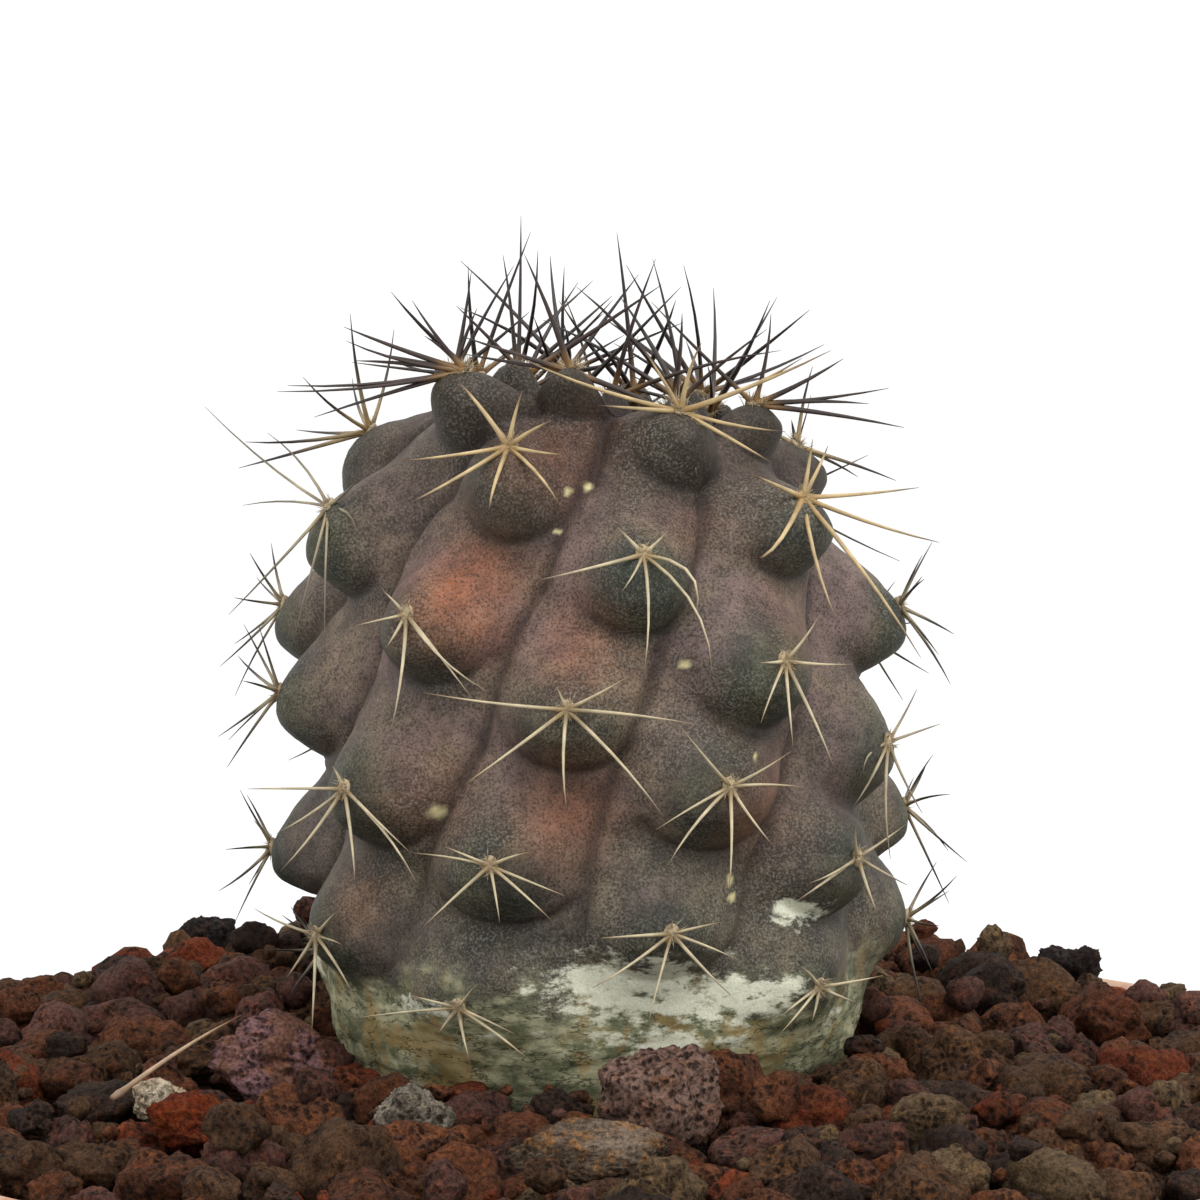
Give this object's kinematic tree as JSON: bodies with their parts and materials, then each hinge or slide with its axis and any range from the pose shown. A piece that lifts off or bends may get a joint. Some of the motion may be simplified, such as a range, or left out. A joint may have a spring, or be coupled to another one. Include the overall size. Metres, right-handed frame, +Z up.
{
  "type": "potted copiapoa hybrid",
  "caption": "Young short-columnar tubercled cactus with star-shaped spine clusters, growing in lava gravel in a small round plastic pot.",
  "frame": {"origin": "centre of the pot's foot ring, on the surface that the pot stands on", "axes": "+Z up along the pot's axis, -Y towards the side that the picture shows, +X to that side's right"},
  "size_m": [0.084, 0.084, 0.1128],
  "materials": {
    "pot_plastic": "terracotta-coloured moulded polypropylene, satin",
    "lava": "porous red-brown lava, matt",
    "plant": "grey-brown waxy cactus skin with straw-coloured spines",
    "dry_spine": "dry straw-coloured spine, matt",
    "stone_grey": "grey lava, matt",
    "stone_mauve": "mauve porous lava, matt",
    "stone_dark": "dark lava, matt",
    "stone_red": "red lava, matt"
  },
  "bodies": {
    "root": {"pot": "pot_plastic", "lava_gravel": "lava", "cactus_stem_with_spines": "plant", "fallen_spine": "dry_spine", "stone_pumice_front": "stone_mauve", "stone_flat_front": "stone_grey", "stone_mauve_left": "stone_mauve", "stone_grey_left": "stone_grey", "stone_red_left": "stone_red", "stone_grey_base": "stone_grey", "stone_dark_back_left": "stone_dark", "stone_dark_back_right": "stone_dark", "stone_pale_back": "stone_grey", "stone_red_right": "stone_red"}
  },
  "joints": []
}
